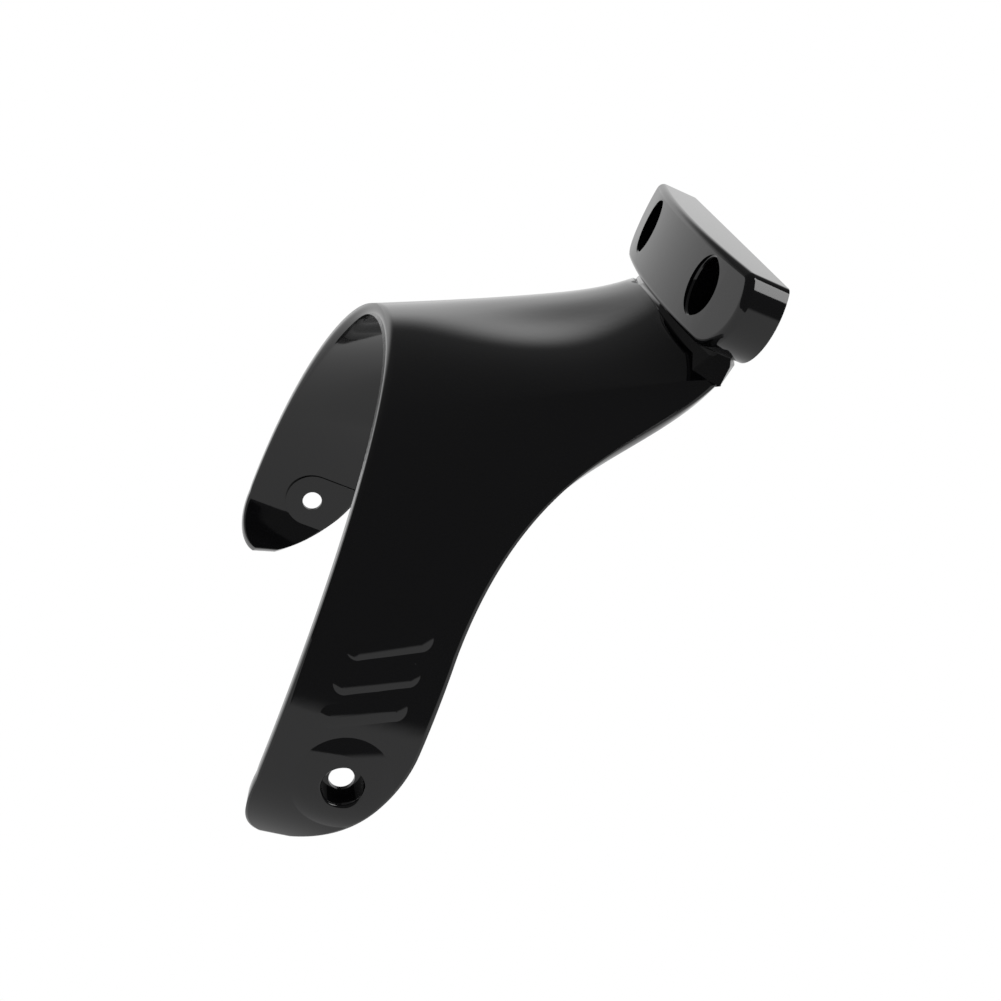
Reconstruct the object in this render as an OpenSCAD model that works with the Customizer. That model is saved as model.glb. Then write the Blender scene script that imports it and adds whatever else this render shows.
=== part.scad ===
// Headlight mounting bracket for a motorcycle: one die-cast, gloss-black painted piece.
// A thick pad is bolted to the fork by two screws in counterbored holes. From the foot of
// the pad a thin saddle shell sweeps forward and widens into a round arch over the lamp.
// Its two arms come down beside the lamp and end in rounded tips with one pivot hole each.
// Millimetres. +X is forward, +Y is the rider's left, +Z is up. The origin lies on the
// flat back of the pad, midway between the two fork screws. Depths are measured down
// from the fork screws.

/* [Arch] */
// outer radius of the arch, which is half of the width over the arms
arch_r = 90; // [87:0.5:93]
// depth of the centre of the arch
arch_drop = 136.3; // [134:0.1:138]
// distance from the back of the pad to the front rim
rim_x = 77.6; // [75:0.1:80]
// forward bow of the front rim halfway down each arm
rim_bow = 1.2; // [0:0.1:2]
// thickness of the cast wall
wall = 3.6; // [3.2:0.1:4]
// radius on the edges of the cast wall
edge_r = 0.9; // [0.5:0.1:1.2]
// vertical half-axis of the part of each arm below the arch centre
tip_axis = 48; // [45:1:54]

/* [Saddle neck] */
// forward reach of the crest of the neck under the middle of the pad
crest_x = 15.3; // [14.4:0.1:15.8]
// depth of the crest of the neck
crest_drop = 13; // [12.6:0.1:13.4]
// distance from the back of the pad to the rear corners of the neck
root_x = 1.8; // [1.2:0.1:2.4]
// half width between the rear corners of the neck
root_y = 42; // [40:0.5:43]
// depth of the rear corners of the neck
root_drop = 17.3; // [16.5:0.1:18]
// fall of the crown just in front of the pad, per millimetre forward
crown_fall = 1.25; // [1:0.05:1.5]
// fall of the neck at its rear corners, per millimetre forward
corner_fall = 0.5; // [0.3:0.05:0.7]
// fall of the crown at the front rim, per millimetre forward
rim_fall = 0.5; // [0.4:0.05:0.6]

/* [Rear edge] */
// forward position of the upper bend of the rear edge
neck_bend_x = 12.8; // [10:0.2:16]
// sideways position of the upper bend
neck_bend_y = 50.5; // [48:0.5:53]
// depth of the upper bend
neck_bend_drop = 38.6; // [35:0.2:42]
// forward position of the lower bend of the rear edge
arm_bend_x = 46.4; // [43:0.2:50]
// sideways position of the lower bend
arm_bend_y = 71.1; // [68:0.1:74]
// depth of the lower bend
arm_bend_drop = 44.2; // [41:0.2:48]
// distance from the back of the pad to the rear edge of the arms
arm_rear_x = 43.8; // [43:0.1:45]
// depth at which the rear edge of an arm turns vertical
arm_top = 96.2; // [94:0.2:99]

/* [Tips] */
// depth at which the rear edge starts to sweep into the tip
sweep_top = 119.6; // [117:0.2:122]
// forward position of the bend between the rear edge and the tip
sweep_bend_x = 53.6; // [52:0.2:55]
// depth of the bend between the rear edge and the tip
sweep_bend_drop = 151.4; // [149:0.2:153]
// forward position of the lowest point of the tip
tip_x = 66.7; // [65:0.1:68]
// depth of the lowest point of the tip
tip_drop = 155.2; // [153:0.1:157]
// depth at which the front rim starts to round into the tip
nose_top = 138.6; // [137:0.2:140]
// roundness of the front of the tip
nose_run = 10.5; // [9:0.5:12]

/* [Fork pad] */
// distance between the two fork screws
bolt_gap = 62.2; // [60:0.2:64]
// radius of the through holes for the fork screws
bolt_r = 4.5; // [4.2:0.1:5]
// radius of the counterbores for the screw heads
head_r = 7.6; // [7:0.1:8]
// distance from the back of the pad to the floor of the counterbores
seat_x = 7; // [6:0.5:8]
// thickness of the pad in its middle
pad_x = 15.9; // [15.4:0.1:16.6]
// bow radius of the front of the pad
bow_r = 277; // [250:1:320]
// height of the flat top above the fork screws
pad_top = 10.5; // [9.8:0.1:10.8]
// radius of the rounded ends of the pad
end_r = 13.5; // [13:0.1:14]
// sideways position of the centre of each rounded end
end_y = 39.6; // [38:0.2:41]
// height of the centre of each rounded end
end_z = 1.2; // [0.8:0.1:1.6]
// thickness of the foot under the pad, in its middle
foot_x = 14.3; // [13.8:0.1:15]
// bow radius of the front of the foot
foot_bow = 160; // [140:5:180]
// half width of the foot
foot_y = 42; // [41.5:0.1:43]
// depth of the lower face of the foot
foot_drop = 16.8; // [16.2:0.1:17.2]

/* [Pivot ends] */
// forward position of the lamp pivot
pivot_x = 58; // [57:0.2:59]
// depth of the lamp pivot
pivot_drop = 132.9; // [132:0.1:134]
// radius of the pivot holes
pivot_r = 3.1; // [3:0.05:3.4]
// radius of the pivot counterbores
pivot_head_r = 5.05; // [4.8:0.05:5.6]
// depth of the pivot counterbores below the outer face of the arm
pivot_head_d = 3.5; // [3.1:0.1:3.9]
// radius of the raised seat around the pivot
seat_r = 11.5; // [11:0.1:11.5]
// height of the raised seat
seat_h = 0.9; // [0.6:0.1:1.2]
// radius of the raised pad inside the arm
boss_r = 8.6; // [8:0.2:9.6]
// distance from the outer face of the arm to the raised pad
boss_in = 6.5; // [6:0.1:7]

/* [Ribs] */
// number of parallel ribs on the outside of each arm
rib_n = 3; // [1:1:3]
// depth of the front end of the lowest rib
rib_low = 117.6; // [116:0.2:119]
// spacing of the ribs
rib_gap = 8.2; // [7.6:0.1:8.6]
// forward position of the front end of a rib
rib_front = 67.2; // [66:0.2:68]
// forward position of the rear end of a rib
rib_back = 53.6; // [52:0.2:55]
// rise of a rib from its front end to its rear end
rib_rise = 6.2; // [5:0.1:7.4]
// radius of a rib's rounded section
rib_r = 1.8; // [1.6:0.1:2]
// height of a rib
rib_h = 0.55; // [0.4:0.05:0.7]
// extra height at the rear end, where the arm bulges
rib_lift = 0.45; // [0.2:0.05:0.7]

/* [Hidden] */
rows = 30;          // rows of the shell on each side of the crown
cols = 13;          // columns of the shell from the rear edge to the front rim
row_end = 0.98;     // the last row stops just short of the lowest point
v_root = 0.24;      // share of the rows that leave the crest
v_neck = 0.62;      // share at which the rear edge reaches the arm
v_arm = 0.76;       // share at which the rear edge reaches the tip
v_nose = 0.82;      // share at which the front rim reaches the tip

// smooth step from 0 at a to 1 at b
function ease(x, a, b) = let (t = min(1, max(0, (x - a) / (b - a)))) t * t * (3 - 2 * t);
function mix(a, b, t) = a + (b - a) * t;
// cubic curve through p[0] and p[3] with the handles p[1] and p[2]
function cubic(p, t) = let (s = 1 - t)
    s * s * s * p[0] + 3 * s * s * t * p[1] + 3 * s * t * t * p[2] + t * t * t * p[3];
// curve from p to q that leaves p along u and reaches q along w
function swept(p, u, q, w, t) =
    (2 * t * t * t - 3 * t * t + 1) * p + (t * t * t - 2 * t * t + t) * u
    + (3 * t * t - 2 * t * t * t) * q + (t * t * t - t * t) * w;
function unit(v) = v / norm(v);
function flip(p) = [p[0], -p[1], p[2]];

// outer face of the arch and arms at x; a is the angle from the crown in degrees
function skin(x, a) = [x, arch_r * sin(a), -arch_drop + (a <= 90 ? arch_r : tip_axis) * cos(a)];
// angle at which the outer face has the height z
function angle_at(z) = let (h = z + arch_drop)
    h >= 0 ? acos(min(1, h / arch_r)) : 90 + asin(min(1, -h / tip_axis));
// front rim at the angle a
function rim_at(a) = rim_x + 4 * rim_bow * cos(a) * (1 - cos(a));

// rear edge of the neck, from the rear corner to the arm, as [x, y, z]
arm_a = angle_at(-arm_top);
neck_edge = [[root_x, root_y, -root_drop], [neck_bend_x, neck_bend_y, -neck_bend_drop],
             [arm_bend_x, arm_bend_y, -arm_bend_drop], skin(arm_rear_x, arm_a)];
// rear and front edges of the tip in the side view, as [x, z]
sweep_edge = [[arm_rear_x, -sweep_top], [arm_rear_x, -sweep_top - 15],
              [sweep_bend_x, -sweep_bend_drop], [tip_x, -tip_drop]];
nose_a = angle_at(-nose_top);
nose_edge = [[rim_at(nose_a), -nose_top], [rim_at(nose_a) + 0.2, -nose_top - nose_run],
             [tip_x + 7.1, -tip_drop - 1.8], [tip_x, -tip_drop]];

// front end of a row as [x, angle]
function row_front(v) = v < v_nose
    ? let (a = nose_a * v / v_nose) [rim_at(a), a]
    : let (p = cubic(nose_edge, (v - v_nose) / (1 - v_nose))) [p[0], angle_at(p[1])];
// rear end of a row of an arm as [x, angle]
function arm_back(v) = v < v_arm
    ? [arm_rear_x, angle_at(-mix(arm_top, sweep_top, (v - v_neck) / (v_arm - v_neck)))]
    : let (p = cubic(sweep_edge, (v - v_arm) / (1 - v_arm))) [p[0], angle_at(p[1])];
// rear end of a row of the neck as a point: along the crest, then down the rear edge
function neck_back(v) = v < v_root
    ? let (s = sin(90 * v / v_root))
      [mix(crest_x, root_x, s * s * s * s), root_y * s, -mix(crest_drop, root_drop, s * s)]
    : cubic(neck_edge, pow((v - v_root) / (v_neck - v_root), 1.35));

// directions in which the last row of the neck leaves the rear edge and meets the rim
last_a = nose_a * v_neck / v_nose;
turn = (last_a - arm_a) * PI / 180 / (rim_at(last_a) - arm_rear_x);
arm_leave = [1, arch_r * cos(arm_a) * turn, -arch_r * sin(arm_a) * turn];
arm_meet = [1, arch_r * cos(last_a) * turn, -arch_r * sin(last_a) * turn];

// point of the outer face: v runs from the crown to the tip, t from the rear edge to the rim
function face_at(v, t) = v < 0 ? flip(face_at(-v, t)) : v < v_neck ? let (
        b = neck_back(v), f = row_front(v), a = f[1],
        q = skin(f[0], a),
        run = q[0] - b[0],
        e = ease(v, v_root, v_neck),
        side = max(0, (v - v_root) / (v_neck - v_root)),
        leave = mix([1, 0, -mix(crown_fall, corner_fall, ease(v, 0, v_root))], arm_leave, e),
        along = mix(leave, (q - b) / run, 0.65 * sin(180 * side)),
        meet = mix([1, -rim_fall * sin(a), -rim_fall * cos(a)], arm_meet, ease(v, 0, v_neck)))
        swept(b, along * run * 0.85, q, meet * run * 0.92, t)
    : let (b = arm_back(v), f = row_front(v)) skin(mix(b[0], f[0], t), mix(b[1], f[1], t));

// outward direction of the shell
function out_of(v, t) = let (d = 0.004)
    unit(cross(face_at(v, t + d) - face_at(v, t - d), face_at(v + d, t) - face_at(v - d, t)));

// one closed ring: outer face, front edge, inner face, rear edge
function ring(v) = let (
    pf = face_at(v, 1), pb = face_at(v, 0),
    n = out_of(v, 1), m = out_of(v, 0),
    ef = unit(pf - face_at(v, 0.97)), eb = unit(pb - face_at(v, 0.03)),
    cut = min(0.3, edge_r / norm(pf - pb)),
    ts = [for (i = [0:cols]) mix(cut, 1 - cut, i / cols)],
    k = edge_r * (1 - cos(45)))
    concat(
        [for (t = ts) face_at(v, t)],
        [pf - ef * k - n * k, pf - n * edge_r, pf - n * (wall - edge_r), pf - ef * k - n * (wall - k)],
        [for (i = [cols:-1:0]) face_at(v, ts[i]) - out_of(v, ts[i]) * wall],
        [pb - eb * k - m * (wall - k), pb - m * (wall - edge_r), pb - m * edge_r, pb - eb * k - m * k]);

// saddle, arch and both arms as one closed skin
module shell() {
    half = [for (j = [0:rows]) ring(row_end * j / rows)];
    rings = concat([for (j = [rows:-1:1]) [for (p = half[j]) flip(p)]],
                   [[for (p = half[0]) [p[0], 0, p[2]]]],
                   [for (j = [1:rows]) half[j]]);
    c = len(half[0]);
    r = len(rings);
    pts = [for (g = rings) each g];
    sides = [for (j = [0:r - 2], k = [0:c - 1]) let (k2 = (k + 1) % c)
             each [[j * c + k, (j + 1) * c + k2, j * c + k2], [j * c + k, (j + 1) * c + k, (j + 1) * c + k2]]];
    // caps at the two tips: a strip of quads and a fan at each end of it
    function pair(i) = 2 * cols + 5 - i;
    strip = concat(
        [for (i = [0:cols - 1]) each [[i, i + 1, pair(i + 1)], [i, pair(i + 1), pair(i)]]],
        [for (i = [0:3]) [cols, cols + 1 + i, cols + 2 + i]],
        [for (i = [0:3]) [0, pair(0) + i, pair(0) + i + 1]]);
    base = (r - 1) * c;
    caps = concat(strip, [for (f = strip) [f[2] + base, f[1] + base, f[0] + base]]);
    polyhedron(points = pts, faces = concat(sides, caps), convexity = 8);
}

// outline of the pad in the front view: rounded ends under a flat top
module pad_outline() {
    intersection() {
        union() {
            for (s = [-1, 1]) translate([-end_z, s * end_y]) circle(r = end_r, $fn = 96);
            translate([-end_z - end_r, -end_y]) square([2 * end_r, 2 * end_y]);
        }
        translate([-pad_top, -end_y - end_r - 1]) square([pad_top + end_r + 1, 2 * (end_y + end_r + 1)]);
    }
}

// thick pad with a bowed front
module fork_pad() {
    intersection() {
        rotate([0, 90, 0]) linear_extrude(height = pad_x) pad_outline();
        translate([pad_x - bow_r, 0, -30]) cylinder(h = 60, r = bow_r, $fn = 240);
    }
}

// set-back foot that joins the pad to the neck
module foot() {
    intersection() {
        translate([0, -foot_y, -foot_drop]) cube([foot_x, 2 * foot_y, foot_drop - 6]);
        translate([foot_x - foot_bow, 0, -30]) cylinder(h = 60, r = foot_bow, $fn = 180);
    }
}

// outline of an arm in the side view, kept inside the rear edge
module arm_side() {
    low = [for (i = [0:12]) cubic(sweep_edge, 0.72 * i / 12)];
    front = rim_x - 8;
    polygon(concat([for (p = low) p + [1, 0.6]],
        [[front, -tip_drop + 8], [front, -110], [arm_rear_x + 1, -110]]));
}

// raised pad inside an arm, which runs out to the rear edge
module boss(s) {
    inner = arch_r - boss_in;
    outer = arch_r - 2.2;
    intersection() {
        union() {
            translate([pivot_x, s * (inner + outer) / 2, -pivot_drop]) rotate([90, 0, 0])
                cylinder(h = outer - inner, r = boss_r, center = true, $fn = 64);
            translate([arm_rear_x - 4, s > 0 ? inner : -outer, -pivot_drop - boss_r])
                cube([pivot_x - arm_rear_x + 4, outer - inner, 2 * boss_r]);
        }
        translate([0, 100, 0]) rotate([90, 0, 0]) linear_extrude(height = 200) arm_side();
    }
}

// solid of revolution that cuts the counterbore into the outside of an arm
module pivot_head(s) {
    translate([pivot_x, s * arch_r, -pivot_drop]) rotate([90, 0, 0])
        cylinder(h = 2 * pivot_head_d, r = pivot_head_r, center = true, $fn = 96);
}

// raised seat for the screw, on the outside of an arm
module pivot_seat(s) {
    intersection() {
        translate([pivot_x, s * (arch_r + seat_h - wall / 2), -pivot_drop]) rotate([90, 0, 0])
            cylinder(h = wall, r = seat_r, center = true, $fn = 96);
        translate([0, 100, 0]) rotate([90, 0, 0]) linear_extrude(height = 200) arm_side();
    }
}

// outward direction of an arm at the angle a
function arm_out(a) = unit([0, sin(a) / arch_r, cos(a) / (a <= 90 ? arch_r : tip_axis)]);
// end of a rib's axis at x and z, at the distance out from the face of the arch
function rib_end(x, z, out) = let (a = angle_at(z)) skin(x, a) + arm_out(a) * out;

// one rib with round ends, from the point a to the point b
module rib(a, b) {
    d = b - a;
    translate(a) rotate([0, acos(d[2] / norm(d)), atan2(d[1], d[0])]) {
        cylinder(h = norm(d), r = rib_r, $fn = 48);
        for (z = [0, norm(d)]) translate([0, 0, z]) sphere(r = rib_r, $fn = 48);
    }
}

// all ribs of one arm
module ribs(s) {
    for (i = [0:rib_n - 1]) {
        z = -rib_low + i * rib_gap;
        a = rib_end(rib_front, z, rib_h - rib_r);
        b = rib_end(rib_back, z + rib_rise, rib_h - rib_r + rib_lift);
        rib(s > 0 ? a : flip(a), s > 0 ? b : flip(b));
    }
}

module bracket() {
    color([0.02, 0.02, 0.02]) difference() {
        union() {
            shell();
            fork_pad();
            foot();
            boss(1);
            boss(-1);
            for (s = [-1, 1]) {
                pivot_seat(s);
                ribs(s);
            }
        }
        for (s = [-1, 1]) {
            translate([-1, s * bolt_gap / 2, 0]) rotate([0, 90, 0])
                cylinder(h = pad_x + 4, r = bolt_r, $fn = 64);
            translate([seat_x, s * bolt_gap / 2, 0]) rotate([0, 90, 0])
                cylinder(h = pad_x, r = head_r, $fn = 96);
            pivot_head(s);
        }
        translate([pivot_x, -arch_r - 5, -pivot_drop]) rotate([-90, 0, 0])
            cylinder(h = 2 * arch_r + 10, r = pivot_r, $fn = 64);
    }
}

bracket();
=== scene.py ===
# %% [markdown]
# # A die-cast headlight bracket in gloss black
#
# The bracket is one aluminium casting with a thick, wet-looking coat of black paint. A pad is
# bolted to the fork, a thin saddle sweeps forward from it and widens into a round arch, and two
# arms hold the lamp between their rounded tips. This lesson builds it in Blender: a bent grid
# for the shell, spun cutters for the holes, low crowns laid on the arms for the ribs, and one
# union. Paint, light and camera follow.
#
# The first cell loads the measured model as a fixed frame. Blender's scene is in metres.

# %% Load the frame
import math

import bmesh
import bpy
from mathutils import Matrix, Vector
from mathutils.bvhtree import BVHTree


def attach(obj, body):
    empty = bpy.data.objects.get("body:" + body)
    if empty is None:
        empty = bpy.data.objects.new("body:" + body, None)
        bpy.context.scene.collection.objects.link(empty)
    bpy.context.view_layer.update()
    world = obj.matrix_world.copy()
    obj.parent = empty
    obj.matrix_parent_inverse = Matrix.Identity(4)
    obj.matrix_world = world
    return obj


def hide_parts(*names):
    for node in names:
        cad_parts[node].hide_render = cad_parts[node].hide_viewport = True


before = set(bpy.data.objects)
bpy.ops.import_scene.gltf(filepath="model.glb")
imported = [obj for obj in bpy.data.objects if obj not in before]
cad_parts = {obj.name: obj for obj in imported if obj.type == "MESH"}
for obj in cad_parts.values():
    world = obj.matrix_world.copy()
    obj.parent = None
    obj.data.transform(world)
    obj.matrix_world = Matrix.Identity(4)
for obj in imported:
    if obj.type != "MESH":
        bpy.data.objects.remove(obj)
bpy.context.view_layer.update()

# %% [markdown]
# ## Sizes
#
# A caster works from one sheet of sizes. These are the bracket's own, in millimetres, with +X
# forward, +Y to the rider's left and +Z up. The origin lies on the back of the pad, midway
# between the two fork screws, so everything below the screws has a negative height.

# %% Sizes in millimetres
MM = 0.001
TINY = 1e-4                # below any real size
WALL = 3.6                 # thickness of the cast wall
EDGE_ROUND = 0.6           # rounding of the rims
ARCH_R = 90.0              # outer radius of the arch
ARCH_Z = -136.3            # height of the arch's centre
TIP_AXIS = 48.0            # lower half axis of the ellipse below that centre
RIM_X = 77.6               # front rim, ahead of the pad's back
RIM_BOW = 1.13             # how far that rim bows forward on each side
ARM_REAR_X = 43.8          # rear edge of the arms
ARM_TOP_Z = -96.2          # where that edge turns vertical
SWEEP_Z = -119.6           # where it starts to sweep into the tip
TIP = (66.7, -155.2)       # lowest point of the tip, in the side view
NOSE_Z = -138.6            # where the front rim starts to round into the tip
CREST = (15.3, -13.0)      # rear end of the crown, under the pad
CORNER = Vector((1.8, 42.0, -17.3))           # rear corner of the neck
UPPER_BEND = Vector((12.8, 50.5, -38.6))      # the neck's rear edge is drawn to these two
LOWER_BEND = Vector((44.3, 64.1, -46.5))
PIVOT = (58.0, -132.9)     # lamp pivot, in the side view
BOLT_Y = 31.1              # fork screws, sideways
print("width over the plain arms:", 2 * ARCH_R, "mm")

# %% [markdown]
# ## The shell's outer face
#
# The saddle is a free-form surface, so it can't be lathed or extruded. A pattern maker would
# draw its outline and let smooth curves run between the edges. This does the same: each curve
# leaves the rear edge in one direction and meets the front rim in another. Four small helpers
# blend numbers and points, and the rest of the shell is made with them.

# %% Blends and curves
def mix(a, b, t):
    return a + (b - a) * t


def ease(x, a, b):
    """0 before a, 1 past b, and a soft rise between them."""
    t = min(1.0, max(0.0, (x - a) / (b - a)))
    return t * t * (3 - 2 * t)


def cubic(points, t):
    """Point on the cubic curve that four control points draw."""
    s = 1 - t
    weights = (s ** 3, 3 * s * s * t, 3 * s * t * t, t ** 3)
    return sum((w * p for w, p in zip(weights[1:], points[1:])), weights[0] * points[0])


def swept(p, leave, q, meet, t):
    """Point on the curve that leaves p along one direction and meets q along another."""
    return ((2 * t ** 3 - 3 * t * t + 1) * p + (t ** 3 - 2 * t * t + t) * leave
            + (3 * t * t - 2 * t ** 3) * q + (t ** 3 - t * t) * meet)


print("a quarter, eased:", ease(0.25, 0, 1))

# %% [markdown]
# The arch is round, to fit a round lamp. Below its centre an ellipse takes over and draws the
# tips of the arms inwards sooner. The front rim bows a little forward on each side.

# %% The round arch
def skin(x, a):
    """Outer face of the arch and the arms at x, at the angle a from the crown."""
    height = ARCH_R if a <= math.pi / 2 else TIP_AXIS
    return Vector((x, ARCH_R * math.sin(a), ARCH_Z + height * math.cos(a)))


def angle_at(z):
    """Angle from the crown at which that face has the height z."""
    h = z - ARCH_Z
    if h >= 0:
        return math.acos(min(1.0, h / ARCH_R))
    return math.pi / 2 + math.asin(min(1.0, -h / TIP_AXIS))


def rim_at(a):
    """x of the front rim at the angle a."""
    return RIM_X + 4 * RIM_BOW * math.cos(a) * (1 - math.cos(a))


print("half width at the tips:", round(skin(TIP[0], angle_at(TIP[1])).y, 1), "mm")

# %% [markdown]
# The shell is laid in rows, which fan out from the crest over the crown down to the tip. Each row
# has a front end on the rim. Near the tip the rim leaves the arch and rounds into the lowest
# point, and a cubic curve in the side view draws that nose.

# %% Front ends of the rows
V_CORNER, V_ARM, V_SWEEP, V_NOSE = 0.24, 0.62, 0.76, 0.82   # shares of the rows, crown to tip
NOSE_PULL = (0.2, -10.5)   # from the top of the nose to its curve's second point
TIP_PULL = (7.1, -1.2)     # from the tip to the third point
nose_a = angle_at(NOSE_Z)
nose_x = rim_at(nose_a)
nose_edge = [Vector(p) for p in ((nose_x, NOSE_Z),
                                 (nose_x + NOSE_PULL[0], NOSE_Z + NOSE_PULL[1]),
                                 (TIP[0] + TIP_PULL[0], TIP[1] + TIP_PULL[1]), TIP)]


def row_front(v):
    """x and angle of the front end of the row v."""
    if v < V_NOSE:
        a = nose_a * v / V_NOSE
        return rim_at(a), a
    x, z = cubic(nose_edge, (v - V_NOSE) / (1 - V_NOSE))
    return x, angle_at(z)


print("the nose starts", round(math.degrees(nose_a), 1), "degrees from the crown")

# %% [markdown]
# The rear ends lie on three lines. The first runs from the crest under the pad to the neck's
# corner, the second is the neck's own rear edge, and the third is the arm's, which is straight
# and then sweeps into the tip. All of them follow the real part's outline in the photograph.

# %% Rear ends of the rows
SWEEP_DROP = 15.0          # how far the sweep keeps the arm's direction
SWEEP_PULL = (53.6, -151.4)
NECK_CROWDING = 1.35       # draws the rows closer together at the neck's corner
arm_a = angle_at(ARM_TOP_Z)
neck_edge = [CORNER, UPPER_BEND, LOWER_BEND, skin(ARM_REAR_X, arm_a)]
sweep_edge = [Vector(p) for p in ((ARM_REAR_X, SWEEP_Z), (ARM_REAR_X, SWEEP_Z - SWEEP_DROP),
                                  SWEEP_PULL, TIP)]


def arm_back(v):
    """x and angle of the rear end of a row on the arm."""
    if v < V_SWEEP:
        return ARM_REAR_X, angle_at(mix(ARM_TOP_Z, SWEEP_Z, (v - V_ARM) / (V_SWEEP - V_ARM)))
    x, z = cubic(sweep_edge, (v - V_SWEEP) / (1 - V_SWEEP))
    return x, angle_at(z)


def neck_back(v):
    """Rear end of a row on the neck."""
    if v < V_CORNER:
        s = math.sin(math.pi / 2 * v / V_CORNER)
        return Vector((mix(CREST[0], CORNER.x, s ** 4), CORNER.y * s,
                       mix(CREST[1], CORNER.z, s * s)))
    return cubic(neck_edge, ((v - V_CORNER) / (V_ARM - V_CORNER)) ** NECK_CROWDING)


print("the neck meets the arm at", [round(c, 1) for c in neck_edge[-1]])

# %% [markdown]
# Now the two ends of each row are joined. On the arm they are joined straight along the arch. On
# the neck a swept curve leaves the rear edge downwards and meets the rim along the arch, and
# both directions turn slowly from row to row, so that gloss paint shows no crease.

# %% One point of the outer face
CROWN_FALL, CORNER_FALL, RIM_FALL = 1.25, 0.5, 0.5      # how steeply a row leaves and meets
LEAVE_PULL, MEET_PULL = 0.85, 0.92                      # how far it keeps those directions
STRAIGHTEN = 0.65                                       # how straight the rows beside the neck are
last_a = nose_a * V_ARM / V_NOSE
turn = (last_a - arm_a) / (rim_at(last_a) - ARM_REAR_X)
ARM_LEAVE = Vector((1, ARCH_R * math.cos(arm_a) * turn, -ARCH_R * math.sin(arm_a) * turn))
ARM_MEET = Vector((1, ARCH_R * math.cos(last_a) * turn, -ARCH_R * math.sin(last_a) * turn))


def face_at(v, t):
    """Outer face: v runs from the crown (0) to the tip (1), t from rear edge to front rim."""
    x, a = row_front(v)
    if v >= V_ARM:
        xb, ab = arm_back(v)
        return skin(mix(xb, x, t), mix(ab, a, t))
    b, q = neck_back(v), skin(x, a)
    run = q.x - b.x
    side = max(0.0, (v - V_CORNER) / (V_ARM - V_CORNER))
    leave = Vector((1, 0, -mix(CROWN_FALL, CORNER_FALL, ease(v, 0, V_CORNER))))
    leave = leave.lerp(ARM_LEAVE, ease(v, V_CORNER, V_ARM))
    leave = leave.lerp((q - b) / run, STRAIGHTEN * math.sin(math.pi * side))
    meet = Vector((1, -RIM_FALL * math.sin(a), -RIM_FALL * math.cos(a)))
    meet = meet.lerp(ARM_MEET, ease(v, 0, V_ARM))
    return swept(b, leave * run * LEAVE_PULL, q, meet * run * MEET_PULL, t)


print("middle of the crown:", [round(c, 1) for c in face_at(0, 0.5)])

# %% [markdown]
# ## Helpers for the pieces
#
# Every piece is made in millimetres and stored in metres, and it has to be closed and face
# outwards before it can be joined to another. Each piece's faces also carry a number of their
# own, in an attribute named part, which finds the borders between the pieces again later on.

# %% Piece helpers
RIM_ANGLE = 60             # degrees; an edge that turns more than this is a rim


def new_piece(name, bm):
    """Turns a bmesh in millimetres into an object in metres at the origin."""
    bm.transform(Matrix.Scale(MM, 4))
    mesh = bpy.data.meshes.new(name)
    bm.to_mesh(mesh)
    bm.free()
    part = mesh.attributes.new("part", "INT", "FACE")
    part.data.foreach_set("value", [len(bpy.data.meshes)] * len(mesh.polygons))
    piece = bpy.data.objects.new(name, mesh)
    bpy.context.scene.collection.objects.link(piece)
    return piece


def face_outwards(bm):
    bmesh.ops.recalc_face_normals(bm, faces=bm.faces[:])
    if bm.calc_volume(signed=True) < 0:
        bmesh.ops.reverse_faces(bm, faces=bm.faces[:])


def rims(bm):
    return [e for e in bm.edges
            if e.is_manifold and e.calc_face_angle(0) > math.radians(RIM_ANGLE)]


def round_edges(bm, edges, radius, segments=3, clamp=True):
    bmesh.ops.bevel(bm, geom=list(edges), offset=radius, offset_type="OFFSET", segments=segments,
                    profile=0.5, affect="EDGES", clamp_overlap=clamp, material=-1)


print("an edge is a rim from", RIM_ANGLE, "degrees")

# %% [markdown]
# ## From a flat grid to a bent sheet
#
# A flat grid is bent onto the outer face and mirrored for the other arm. A fine grid keeps
# reflections clean, because gloss paint shows every facet. The last rows would all run into one
# point, so they are left out and the tip ends in a short edge.

# %% Bend and mirror the sheet
ROWS, COLS, ROW_END = 150, 34, 0.974
CROWN_X = 50.0             # a face of the crown, which has to look up
SEAM = 0.01                # the halves' points are merged within this distance
shell_bm = bmesh.new()
bmesh.ops.create_grid(shell_bm, x_segments=ROWS, y_segments=COLS, size=0.5)
for vert in shell_bm.verts:
    vert.co = face_at((vert.co.x + 0.5) * ROW_END, vert.co.y + 0.5)
bmesh.ops.mirror(shell_bm, geom=shell_bm.verts[:] + shell_bm.edges[:] + shell_bm.faces[:],
                 axis="Y", merge_dist=SEAM)
bmesh.ops.recalc_face_normals(shell_bm, faces=shell_bm.faces[:])
crown = min(shell_bm.faces, key=lambda f: abs(f.calc_center_median().y)
            + abs(f.calc_center_median().x - CROWN_X))
if crown.normal.z < 0:
    bmesh.ops.reverse_faces(shell_bm, faces=shell_bm.faces[:])
print("sheet faces:", len(shell_bm.faces))

# %% [markdown]
# ## From the sheet to a cast wall
#
# Solidify grows the wall inwards, at right angles to the sheet, which leaves the front rim
# slanted. On the real part that rim is cut square to the arch, so the rim's inner points move
# forward to the same x as their outer neighbours. Then all the rims get a cast radius.

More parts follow.
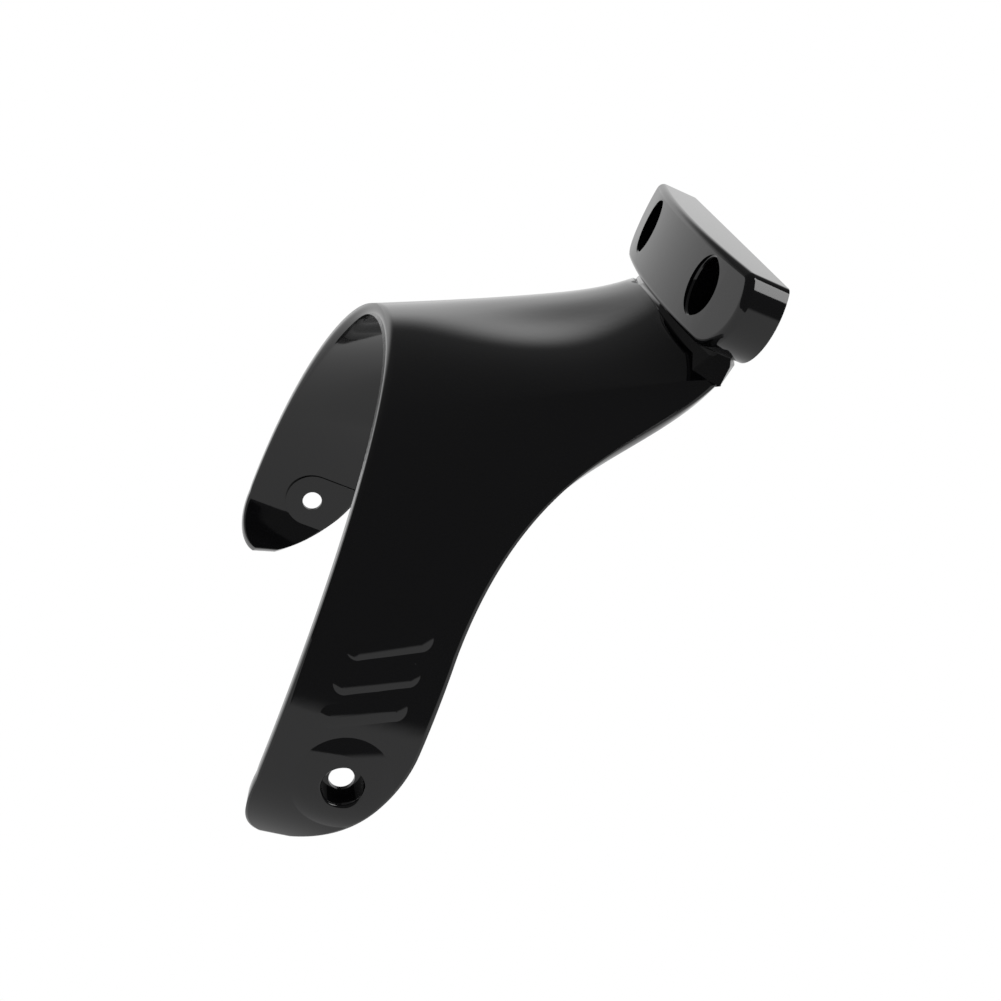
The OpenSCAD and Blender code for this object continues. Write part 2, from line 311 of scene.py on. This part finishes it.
# %% Thicken and round the shell
RIM_DEPTH = 4.0            # points of the front rim lie no further back than this
ACROSS = 0.8 * WALL        # an edge of the rim longer than this runs across the wall
bmesh.ops.solidify(shell_bm, geom=shell_bm.faces[:], thickness=WALL)
rim_verts = {v for e in rims(shell_bm) for v in e.verts if v.co.x > RIM_X - RIM_DEPTH}
for vert in rim_verts:
    across = [e.other_vert(vert).co.x for e in vert.link_edges
              if e.other_vert(vert) in rim_verts and e.calc_length() > ACROSS]
    vert.co.x = max([vert.co.x] + across)
round_edges(shell_bm, rims(shell_bm), EDGE_ROUND)
print("shell faces:", len(shell_bm.faces), "x span:",
      min(v.co.x for v in shell_bm.verts), max(v.co.x for v in shell_bm.verts))
shell = new_piece("casting", shell_bm)

# %% [markdown]
# ## The fork pad
#
# The pad is a slab with a bowed front, round ends and a flat top. Its outline is drawn in the
# front view, from arcs that meet without a corner, as a draughtsman would.

# %% Outline of the pad
PAD_X, PAD_BOW, PAD_TOP, PAD_EDGE, PAD_CORNER = 15.9, 277.0, 10.49, 1.9, 3.0
END_R, END_Y, END_Z = 13.5, 39.6, 1.2
END_STEPS, CORNER_STEPS = 20, 8


def arc(centre, radius, start, end, steps):
    angles = [mix(start, end, k / steps) for k in range(steps + 1)]
    return [(centre[0] + radius * math.cos(a), centre[1] + radius * math.sin(a)) for a in angles]


def pad_outline():
    """Front view: round ends, and a smaller round where each of them meets the flat top."""
    up = PAD_TOP - PAD_CORNER - END_Z
    out = math.sqrt((END_R - PAD_CORNER) ** 2 - up ** 2)
    meet = math.atan2(up, out)
    side = arc((END_Y, END_Z), END_R, -math.pi / 2, meet, END_STEPS)
    side += arc((END_Y + out, PAD_TOP - PAD_CORNER), PAD_CORNER, meet, math.pi / 2,
                CORNER_STEPS)[1:]
    return side + [(-y, z) for y, z in reversed(side)]


print("points of the pad's outline:", len(pad_outline()))

# %% [markdown]
# The outline is extruded forward and cut into upright slices, so that its front can follow the
# bow. A wide soft radius runs round that front, as a casting needs to leave its mould.

# %% Pad
SLICES, SLICE_SNAP, EDGE_STEPS = 16, 1e-3, 6


def bowed_slab(outline, front, bow, edge):
    """Extrudes an outline of the front view from the back plane to a bowed front."""
    bm = bmesh.new()
    face = bm.faces.new([bm.verts.new((0, y, z)) for y, z in outline])
    grown = bmesh.ops.extrude_face_region(bm, geom=[face])["geom"]
    for vert in (g for g in grown if isinstance(g, bmesh.types.BMVert)):
        vert.co.x = front
    for k in range(SLICES + 1):
        bmesh.ops.bisect_plane(bm, geom=bm.verts[:] + bm.edges[:] + bm.faces[:],
                               dist=SLICE_SNAP, plane_co=(0, mix(-END_Y, END_Y, k / SLICES), 0),
                               plane_no=(0, 1, 0))
    for vert in bm.verts:
        if vert.co.x > front / 2:
            vert.co.x = front - bow + math.sqrt(bow * bow - vert.co.y ** 2)
    face_outwards(bm)
    front_rim = [e for e in rims(bm) if min(v.co.x for v in e.verts) > front / 2]
    round_edges(bm, front_rim, edge, EDGE_STEPS, clamp=False)
    return bm


pad = new_piece("pad", bowed_slab(pad_outline(), PAD_X, PAD_BOW, PAD_EDGE))
print("pad size in mm:", [round(c / MM, 1) for c in pad.dimensions])

# %% [markdown]
# ## The foot under the pad
#
# The foot fills the corner between the pad and the saddle. It is a low wedge: its crest tucks
# under the pad and its front slopes down into the saddle's rear corners. Eight points on each
# side and one in the middle give its shape, and a hull wraps them.

# %% Foot
FOOT_POINTS = [(15.0, 12.0, -12.9), (2.2, 43.5, -13.8), (15.2, 12.0, -14.2), (9.4, 38.8, -19.8),
               (2.6, 44.5, -19.0), (0.0, 40.0, -13.5), (0.6, 40.0, -17.5), (4.0, 42.0, -8.0)]
FOOT_MIDDLE = (14.0, 0.0, -8.0)
foot_bm = bmesh.new()
for x, y, z in FOOT_POINTS:
    foot_bm.verts.new((x, y, z))
    foot_bm.verts.new((x, -y, z))
foot_bm.verts.new(FOOT_MIDDLE)
bmesh.ops.convex_hull(foot_bm, input=foot_bm.verts[:])
bmesh.ops.delete(foot_bm, geom=[v for v in foot_bm.verts if not v.link_faces], context="VERTS")
bmesh.ops.dissolve_limit(foot_bm, angle_limit=math.radians(1), verts=foot_bm.verts[:],
                         edges=foot_bm.edges[:])
face_outwards(foot_bm)
foot = new_piece("foot", foot_bm)
print("foot faces:", len(foot.data.polygons))

# %% [markdown]
# ## Raised pads inside the arms
#
# Each lamp screw clamps on a flat pad inside the arm, a boss, which runs out to the rear edge
# between two straight sides. It starts as a disc, and its rear half is pushed back to just
# inside the arm's rear edge, which is found by halving steps on the sweep curve.

# %% Bosses
BOSS_R, BOSS_IN, BOSS_OUT = 8.6, 85.2, 87.6
BOSS_INSET, BOSS_ROUND = 1.2, 0.5
HALVINGS = 30
CIRCLE_STEPS = 96          # steps round every boss and every hole
REAR_HALF_X = PIVOT[0] - 0.01                 # points behind this belong to the rear half


def arm_outline_x(z):
    """Rear edge of an arm at the height z, found on its sweep curve."""
    low, high = 0.0, 1.0
    for _ in range(HALVINGS):
        middle = (low + high) / 2
        if cubic(sweep_edge, middle).y > z:
            low = middle
        else:
            high = middle
    return cubic(sweep_edge, low).x if z < SWEEP_Z else ARM_REAR_X


def boss(side):
    bm = bmesh.new()
    bmesh.ops.create_cone(bm, cap_ends=True, segments=CIRCLE_STEPS, radius1=BOSS_R,
                          radius2=BOSS_R, depth=BOSS_OUT - BOSS_IN)
    bmesh.ops.rotate(bm, verts=bm.verts[:], matrix=Matrix.Rotation(math.pi / 2, 3, "X"))
    bmesh.ops.translate(bm, verts=bm.verts[:],
                        vec=(PIVOT[0], side * (BOSS_IN + BOSS_OUT) / 2, PIVOT[1]))
    for vert in bm.verts:
        rear = arm_outline_x(vert.co.z) + BOSS_INSET
        if vert.co.x < max(REAR_HALF_X, rear):
            vert.co.x = rear
    face_outwards(bm)
    round_edges(bm, rims(bm), BOSS_ROUND)
    return new_piece("boss", bm)


bosses = [boss(1), boss(-1)]
print("boss size in mm:", [round(c / MM, 1) for c in bosses[0].dimensions])

# %% [markdown]
# ## Cutters
#
# Every machined hole is a solid of revolution, so its cutter is a half profile, spun once round
# the hole's axis and then turned and moved into place.

# %% Spun cutters
def spun_cutter(profile, centre, axis):
    """profile holds (radius, distance along the axis) pairs, from the inner end to the mouth."""
    bm = bmesh.new()
    line = [bm.verts.new((r, 0, d)) for r, d in profile]
    for a, b in zip(line, line[1:]):
        bm.edges.new((a, b))
    bmesh.ops.spin(bm, geom=bm.verts[:] + bm.edges[:], cent=(0, 0, 0), axis=(0, 0, 1),
                   dvec=(0, 0, 0), angle=2 * math.pi, steps=CIRCLE_STEPS, use_merge=True,
                   use_duplicate=False)
    bmesh.ops.remove_doubles(bm, verts=bm.verts[:], dist=TINY)
    face_outwards(bm)
    turn_to = Vector((0, 0, 1)).rotation_difference(Vector(axis)).to_matrix().to_4x4()
    bm.transform(Matrix.Translation(Vector(centre)) @ turn_to)
    return new_piece("cutter", bm)


LIP = 0.7                  # radius of a hole's mouth
PAST = 6.0                 # how far a cutter runs on past the mouth


def screw_hole(hole_r, start, head_r, seat, mouth):
    """Half profile of a hole with a counterbore and a mouth that flares out to the face."""
    flare = [(head_r + LIP * (1 - math.cos(a)), mouth - LIP * (1 - math.sin(a)))
             for a in (0.0, math.pi / 6, math.pi / 3, math.pi / 2)]
    return ([(0, start), (hole_r, start), (hole_r, seat), (head_r, seat)] + flare
            + [(flare[-1][0], mouth + PAST), (0, mouth + PAST)])


print("points of a profile:", len(screw_hole(1, 0, 2, 3, 4)))

# %% [markdown]
# The fork screws sink their heads into the pad, and the lamp screws sink theirs into the seats on
# the arms. A small flare at each mouth leaves the softened edge that paint gives.

# %% The four screw holes
BOLT_R, BOLT_START, HEAD_R, SEAT_X = 4.5, -3, 7.6, 7.0
PIVOT_R, PIVOT_START, PIVOT_HEAD_R, PIVOT_HEAD_D = 3.1, 70, 5.05, 3.5
SEAT_RISE = 0.82           # the seat's face at the pivot, out from the plain arm
pad_face = PAD_X - PAD_BOW + math.sqrt(PAD_BOW ** 2 - BOLT_Y ** 2)
seat_y = ARCH_R + SEAT_RISE
cutters = []
for side in (1, -1):
    cutters.append(spun_cutter(screw_hole(BOLT_R, BOLT_START, HEAD_R, SEAT_X, pad_face),
                               (0, side * BOLT_Y, 0), (1, 0, 0)))
    cutters.append(spun_cutter(screw_hole(PIVOT_R, PIVOT_START, PIVOT_HEAD_R,
                                          ARCH_R - PIVOT_HEAD_D, seat_y),
                               (PIVOT[0], 0, PIVOT[1]), (0, side, 0)))
print("cutters:", len(cutters), "pad's face at the screws:", round(pad_face, 1), "mm")

# %% [markdown]
# ## Ribs and seats on the arms
#
# Three low ribs and a domed seat for the lamp screw stand proud of each arm. Each is a ball that
# is stretched to the rib's length, laid on the arm point by point, and flattened to a low crown
# that sinks into the arm at its edge, as a shape that has to leave a mould does.

# %% Low raised shapes, laid on the arm
SKIRT, SINK = 1.08, 1.2    # how far a shape reaches past its edge, and into the wall
OUTSIDE = 120.0            # a ray that looks for the arm starts this far out
BALL_STEPS = 64
skin_tree = BVHTree.FromObject(shell, bpy.context.evaluated_depsgraph_get())


def raised(start, end, half_width, height, power, side, rings):
    """Low crown between two points (x, z) of the side view of an arm."""
    bm = bmesh.new()
    bmesh.ops.create_uvsphere(bm, u_segments=BALL_STEPS, v_segments=rings,
                              radius=half_width * SKIRT)
    start, end = Vector(start), Vector(end)
    run = (end - start).length
    along = (end - start) / run if run else Vector((1, 0))
    across = Vector((-along.y, along.x))
    for vert in bm.verts:
        on_top = vert.co.z > -TINY
        r = vert.co.xy.length / half_width
        share = 0.5 if abs(vert.co.x) < TINY else float(vert.co.x > 0)
        place = start.lerp(end, share) + along * vert.co.x + across * vert.co.y
        place.x = max(place.x, arm_outline_x(place.y) + EDGE_ROUND)
        hit, normal = skin_tree.ray_cast(Vector((place.x, side * OUTSIDE, place.y)) * MM,
                                         Vector((0, -side, 0)))[:2]
        vert.co = hit / MM + normal * (height * (1 - r ** power) if on_top else -SINK)
    face_outwards(bm)
    return new_piece("raised", bm)


print("points in the arm's search tree come from", len(shell.data.polygons), "faces")

# %% [markdown]
# The ribs rise towards the arm's rear edge and lie one above the other over the seat. They only
# decorate the arm and stiffen it a little, so they stay very low.

# %% Three ribs and a seat on each arm
RIBS, RIB_HALF, RIB_H, RIB_POWER, RIB_RINGS = 3, 2.9, 0.34, 2.4, 24
RIB_LOW_Z, RIB_GAP, RIB_RISE, RIB_FRONT_X, RIB_BACK_X = -117.6, 8.2, 6.2, 67.2, 53.6
SEAT_R, SEAT_H, SEAT_POWER, SEAT_RINGS = 12.3, 0.95, 3.0, 64
raised_pieces = []
for side in (1, -1):
    raised_pieces.append(raised(PIVOT, PIVOT, SEAT_R, SEAT_H, SEAT_POWER, side, SEAT_RINGS))
    for k in range(RIBS):
        z = RIB_LOW_Z + k * RIB_GAP
        raised_pieces.append(raised((RIB_FRONT_X, z), (RIB_BACK_X, z + RIB_RISE),
                                    RIB_HALF, RIB_H, RIB_POWER, side, RIB_RINGS))
print("raised shapes:", len(raised_pieces))

# %% [markdown]
# ## One casting
#
# The pieces are joined with booleans and the cutters are taken away, which leaves one closed
# skin, as the mould does. Every piece is closed, so the manifold solver fits: it is quick, and
# its result is closed again. The helper pieces are then thrown away.

# %% Join and cut
def combine(piece, others, operation):
    for other in others:
        step = piece.modifiers.new(operation.lower(), "BOOLEAN")
        step.operation, step.solver, step.object = operation, "MANIFOLD", other
    graph = bpy.context.evaluated_depsgraph_get()
    made = bpy.data.meshes.new_from_object(piece.evaluated_get(graph))
    piece.modifiers.clear()
    piece.data = made
    for other in others:
        bpy.data.objects.remove(other, do_unlink=True)


combine(shell, [pad, foot] + bosses + raised_pieces, "UNION")
combine(shell, cutters, "DIFFERENCE")
casting = shell
print("casting faces:", len(casting.data.polygons))

# %% [markdown]
# Gloss paint needs smooth shading that still breaks at real edges. Faces meeting at a sharp
# angle stay sharp, and so does each border between two of the joined pieces. Points that the
# booleans left almost on top of each other are merged. Normals weighted by area keep the flats
# flat next to their roundings.

# %% Shading
SHARP = 38                 # degrees
MERGE, SLIVER = 0.03, 0.01
for polygon in casting.data.polygons:
    polygon.use_smooth = True
casting.data.set_sharp_from_angle(angle=math.radians(SHARP))
casting_bm = bmesh.new()
casting_bm.from_mesh(casting.data)
bmesh.ops.remove_doubles(casting_bm, verts=casting_bm.verts[:], dist=MERGE * MM)
bmesh.ops.dissolve_degenerate(casting_bm, edges=casting_bm.edges[:], dist=SLIVER * MM)
part = casting_bm.faces.layers.int["part"]
borders = [e for e in casting_bm.edges if len({f[part] for f in e.link_faces}) > 1]
for edge in borders:
    edge.smooth = False
casting_bm.to_mesh(casting.data)
casting_bm.free()
print("edges between pieces:", len(borders))
weighted = casting.modifiers.new("flat faces stay flat", "WEIGHTED_NORMAL")
weighted.mode, weighted.weight, weighted.keep_sharp = "FACE_AREA", 50, True
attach(casting, "root")
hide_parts("bracket")

# %% [markdown]
# ## Gloss-black paint
#
# A material is a tree of nodes. Three helpers keep the trees short: one turns a colour code into
# Blender's linear colour, one adds a node with its settings and links, and one starts a
# material with an empty tree.

# %% Material helpers
def from_hex(code):
    """Turns an sRGB hex colour into Blender's linear colour."""
    channels = [int(code[i:i + 2], 16) / 255 for i in (1, 3, 5)]
    return [c / 12.92 if c <= 0.04045 else ((c + 0.055) / 1.055) ** 2.4 for c in channels] + [1.0]


def add_node(tree, kind, links=(), **settings):
    """Adds a node, sets its sockets and properties by name, and links inputs to outputs."""
    node = tree.nodes.new(kind)
    for key, value in settings.items():
        if key in node.inputs:
            node.inputs[key].default_value = value
        else:
            setattr(node, key, value)
    for target, source in links:
        tree.links.new(source, node.inputs[target])
    return node


def new_material(name):
    material = bpy.data.materials.new(name)
    material.use_nodes = True
    material.node_tree.nodes.clear()
    return material


print("middle grey, linear:", [round(c, 3) for c in from_hex("#808080")])

# %% [markdown]
# The real finish is a black base under a clear, thick top coat, sprayed on the cast skin. It
# reflects like varnish, so its colour is nearly nothing and its gloss is everything. Very faint
# waves, called orange peel, are left by the spray, a few millimetres apart. The gloss itself
# changes a little over wider patches, as on any sprayed part.

# %% Paint
PEEL_MM, PEEL_HEIGHT, PEEL_STRENGTH = 2.6, 0.0001, 0.05
HAZE_MM = 18
GLOSS_FROM, GLOSS_TO = 0.045, 0.085
paint = new_material("gloss black enamel on cast aluminium")
tree = paint.node_tree
place = add_node(tree, "ShaderNodeTexCoord")
peel = add_node(tree, "ShaderNodeTexNoise", [("Vector", place.outputs["Object"])],
                Scale=1 / (PEEL_MM * MM), Detail=1.0, Roughness=0.4)
bumps = add_node(tree, "ShaderNodeBump", [("Height", peel.outputs["Fac"])],
                 Strength=PEEL_STRENGTH, Distance=PEEL_HEIGHT)
haze = add_node(tree, "ShaderNodeTexNoise", [("Vector", place.outputs["Object"])],
                Scale=1 / (HAZE_MM * MM), Detail=3.0)
gloss = add_node(tree, "ShaderNodeMapRange", [("Value", haze.outputs["Fac"])])
gloss.inputs["To Min"].default_value = GLOSS_FROM
gloss.inputs["To Max"].default_value = GLOSS_TO
coat = add_node(tree, "ShaderNodeBsdfPrincipled",
                [("Normal", bumps.outputs["Normal"]), ("Roughness", gloss.outputs["Result"])],
                IOR=1.5)
coat.inputs["Base Color"].default_value = from_hex("#050506")
add_node(tree, "ShaderNodeOutputMaterial", [("Surface", coat.outputs["BSDF"])])
casting.data.materials.clear()
casting.data.materials.append(paint)
print("nodes in the paint:", len(tree.nodes))

# %% [markdown]
# ## Floor and studio
#
# A catalogue photo shows such a part on plain white. The floor is pale and the world is white
# to the camera, while the paint sees a dim room with a few large light surfaces in it. The
# camera's own directions come first, because the studio is built round them. Two helpers then
# pick the kinds of ray that see a surface, and mix two shaders by them.

# %% Directions and rays of the studio
CAMERA_PLACE = Vector((0.16641, 0.45707, 0.06565))
CAMERA_RIGHT = Vector((-0.89500, 0.13603, 0.42481))
CAMERA_DOWN = Vector((-0.34808, 0.38256, -0.85585))
CAMERA_AHEAD = Vector((-0.27894, -0.91386, -0.29504))
DARK, BACKDROP, TABLE = 0.12, 0.95, 0.78      # brightness of the studio; 1 is white paper


def shown_by(tree, *names):
    """Adds the kinds of ray that see a background, from Light Path."""
    ray = add_node(tree, "ShaderNodeLightPath")
    total = ray.outputs[names[0]]
    for name in names[1:]:
        both = add_node(tree, "ShaderNodeMath", operation="ADD", use_clamp=True)
        tree.links.new(total, both.inputs[0])
        tree.links.new(ray.outputs[name], both.inputs[1])
        total = both.outputs[0]
    return total


def mixed(tree, factor, first, second):
    blend = add_node(tree, "ShaderNodeMixShader", [("Fac", factor)])
    tree.links.new(first.outputs[0], blend.inputs[1])
    tree.links.new(second.outputs[0], blend.inputs[2])
    return blend


print("camera to origin:", round(CAMERA_PLACE.length, 3), "m")

# %% [markdown]
# The floor stands for a sweep of white paper far below the part. The camera sees it pure white,
# glossy paint sees it a little darker, and other rays see plain pale paper.

# %% Floor
FLOOR_Z, FLOOR_HALF = -320, 4000
floor_bm = bmesh.new()
bmesh.ops.create_grid(floor_bm, x_segments=1, y_segments=1, size=FLOOR_HALF)
bmesh.ops.translate(floor_bm, verts=floor_bm.verts[:], vec=(0, 0, FLOOR_Z))
floor = new_piece("floor", floor_bm)
ground = new_material("white paper sweep")
tree = ground.node_tree
paper = add_node(tree, "ShaderNodeBsdfDiffuse")
paper.inputs["Color"].default_value = from_hex("#e8e8e8")
seen = add_node(tree, "ShaderNodeEmission", Strength=1.0)
in_gloss = add_node(tree, "ShaderNodeEmission", Strength=TABLE)
gloss_view = mixed(tree, shown_by(tree, "Is Glossy Ray", "Is Transmission Ray"), paper, in_gloss)
view = mixed(tree, shown_by(tree, "Is Camera Ray"), gloss_view, seen)
add_node(tree, "ShaderNodeOutputMaterial", [("Surface", view.outputs[0])])
floor.data.materials.append(ground)
print("floor size in m:", [round(c, 1) for c in floor.dimensions])

# %% [markdown]
# The paint shows the studio round it. Which surface a reflected ray meets is told by its
# direction: the share of the direction along an axis is 1 straight along that axis and falls
# off to the sides. One helper turns such a share into a soft-edged patch of light, and another
# joins two of them with a Math node.

# %% World helpers
world = bpy.data.worlds.new("studio")
bpy.context.scene.world = world
world.use_nodes = True
tree = world.node_tree
tree.nodes.clear()
direction = add_node(tree, "ShaderNodeTexCoord").outputs["Generated"]


def part_of(axis, start, end):
    """1 where the direction's share along an axis is past end, 0 before start."""
    dot = add_node(tree, "ShaderNodeVectorMath", operation="DOT_PRODUCT")
    tree.links.new(direction, dot.inputs[0])
    dot.inputs[1].default_value = axis
    ramp = add_node(tree, "ShaderNodeMapRange", [("Value", dot.outputs["Value"])],
                    interpolation_type="SMOOTHSTEP")
    ramp.inputs["From Min"].default_value, ramp.inputs["From Max"].default_value = start, end
    return ramp.outputs["Result"]


def combined(operation, first, second):
    """Output of a Math node with two values, each a number or another node's output."""
    node = add_node(tree, "ShaderNodeMath", operation=operation)
    for socket, value in zip(node.inputs, (first, second)):
        if isinstance(value, float):
            socket.default_value = value
        else:
            tree.links.new(value, socket)
    return node.outputs[0]


print("world:", world.name)

# %% [markdown]
# All directions here are the camera's own, so down is down in the picture. Behind the bracket
# hangs a white backdrop. It fades out between 39 and 63 degrees off the view, and upwards
# between 34 and 52 degrees. Below lies a white table, a round patch that ends 53 to 58 degrees
# from an axis 25 degrees to the right of down. The ceiling and the camera's side stay dark, and
# they make the paint look black.

# %% World
BACKDROP_FADE = (0.45, 0.78)
CEILING_FADE = (-0.79, -0.56)
TABLE_DOWN, TABLE_RIGHT = 0.906, 0.423        # cosine and sine of 25 degrees
TABLE_FADE = (0.53, 0.60)
ROOM_LIGHT = 0.8           # what the paper and other matt surfaces get from the room
behind = part_of(CAMERA_AHEAD, *BACKDROP_FADE)
low = part_of(CAMERA_DOWN, *CEILING_FADE)
table = part_of(CAMERA_DOWN * TABLE_DOWN + CAMERA_RIGHT * TABLE_RIGHT, *TABLE_FADE)
wall_light = combined("MULTIPLY", combined("MULTIPLY", behind, low), BACKDROP - DARK)
table_light = combined("MULTIPLY", table, TABLE - DARK)
level = combined("ADD", combined("MAXIMUM", wall_light, table_light), DARK)
level = combined("MAXIMUM", level, shown_by(tree, "Is Camera Ray"))
studio_view = add_node(tree, "ShaderNodeBackground", [("Color", level)], Strength=1.0)
room = add_node(tree, "ShaderNodeBackground", Strength=ROOM_LIGHT)
room.inputs["Color"].default_value = from_hex("#ffffff")
rays = shown_by(tree, "Is Camera Ray", "Is Glossy Ray", "Is Transmission Ray")
view = mixed(tree, rays, room, studio_view)
add_node(tree, "ShaderNodeOutputWorld", [("Surface", view.outputs[0])])
print("nodes in the world:", len(tree.nodes))

# %% [markdown]
# One tall soft box stands to the right of the camera and above it. It is the only lamp, and it
# draws the bright patch on the near arm's tip. An area light has soft edges in gloss paint
# because of its size, so a small lamp wouldn't do.

# %% Soft box
def studio_direction(turn, height):
    """Direction in the studio: turn is 0 behind the camera and grows to the image's right."""
    turn, height = math.radians(turn), math.radians(height)
    flat = CAMERA_RIGHT * math.sin(turn) - CAMERA_AHEAD * math.cos(turn)
    return flat * math.cos(height) - CAMERA_DOWN * math.sin(height)


def soft_box(name, turn, height, distance, width, tall, brightness):
    """Area light in a studio direction; a brightness of 1 is as bright as white paper."""
    light = bpy.data.lights.new(name, "AREA")
    light.shape, light.size, light.size_y = "RECTANGLE", width, tall
    light.energy = brightness * math.pi * width * tall
    box = bpy.data.objects.new(name, light)
    bpy.context.scene.collection.objects.link(box)
    aim = studio_direction(turn, height)
    box.location = aim * distance
    box.rotation_euler = aim.to_track_quat("Z", "Y").to_euler()
    return box


box = soft_box("right soft box", turn=54, height=30, distance=1.3, width=0.5, tall=0.9,
               brightness=5.6)
print("soft box at", [round(c, 2) for c in box.location], "with", round(box.data.energy, 2), "W")

# %% [markdown]
# ## Camera
#
# The photograph was matched to the bracket's own edges, which gives the place, the direction
# and the lens of the camera that took it.

# %% Camera
SENSOR, LENS, CLIP = 36.0, 64.77, 0.01
camera_data = bpy.data.cameras.new("camera")
camera_data.sensor_width = SENSOR
camera_data.lens = LENS
camera_data.clip_start = CLIP
camera = bpy.data.objects.new("camera", camera_data)
bpy.context.scene.collection.objects.link(camera)
columns = Matrix((CAMERA_RIGHT, -CAMERA_DOWN, -CAMERA_AHEAD)).transposed().to_4x4()
camera.matrix_world = Matrix.Translation(CAMERA_PLACE) @ columns
bpy.context.scene.camera = camera
bpy.context.scene.view_settings.view_transform = "Standard"
print("field of view:", round(math.degrees(camera_data.angle), 1), "degrees")
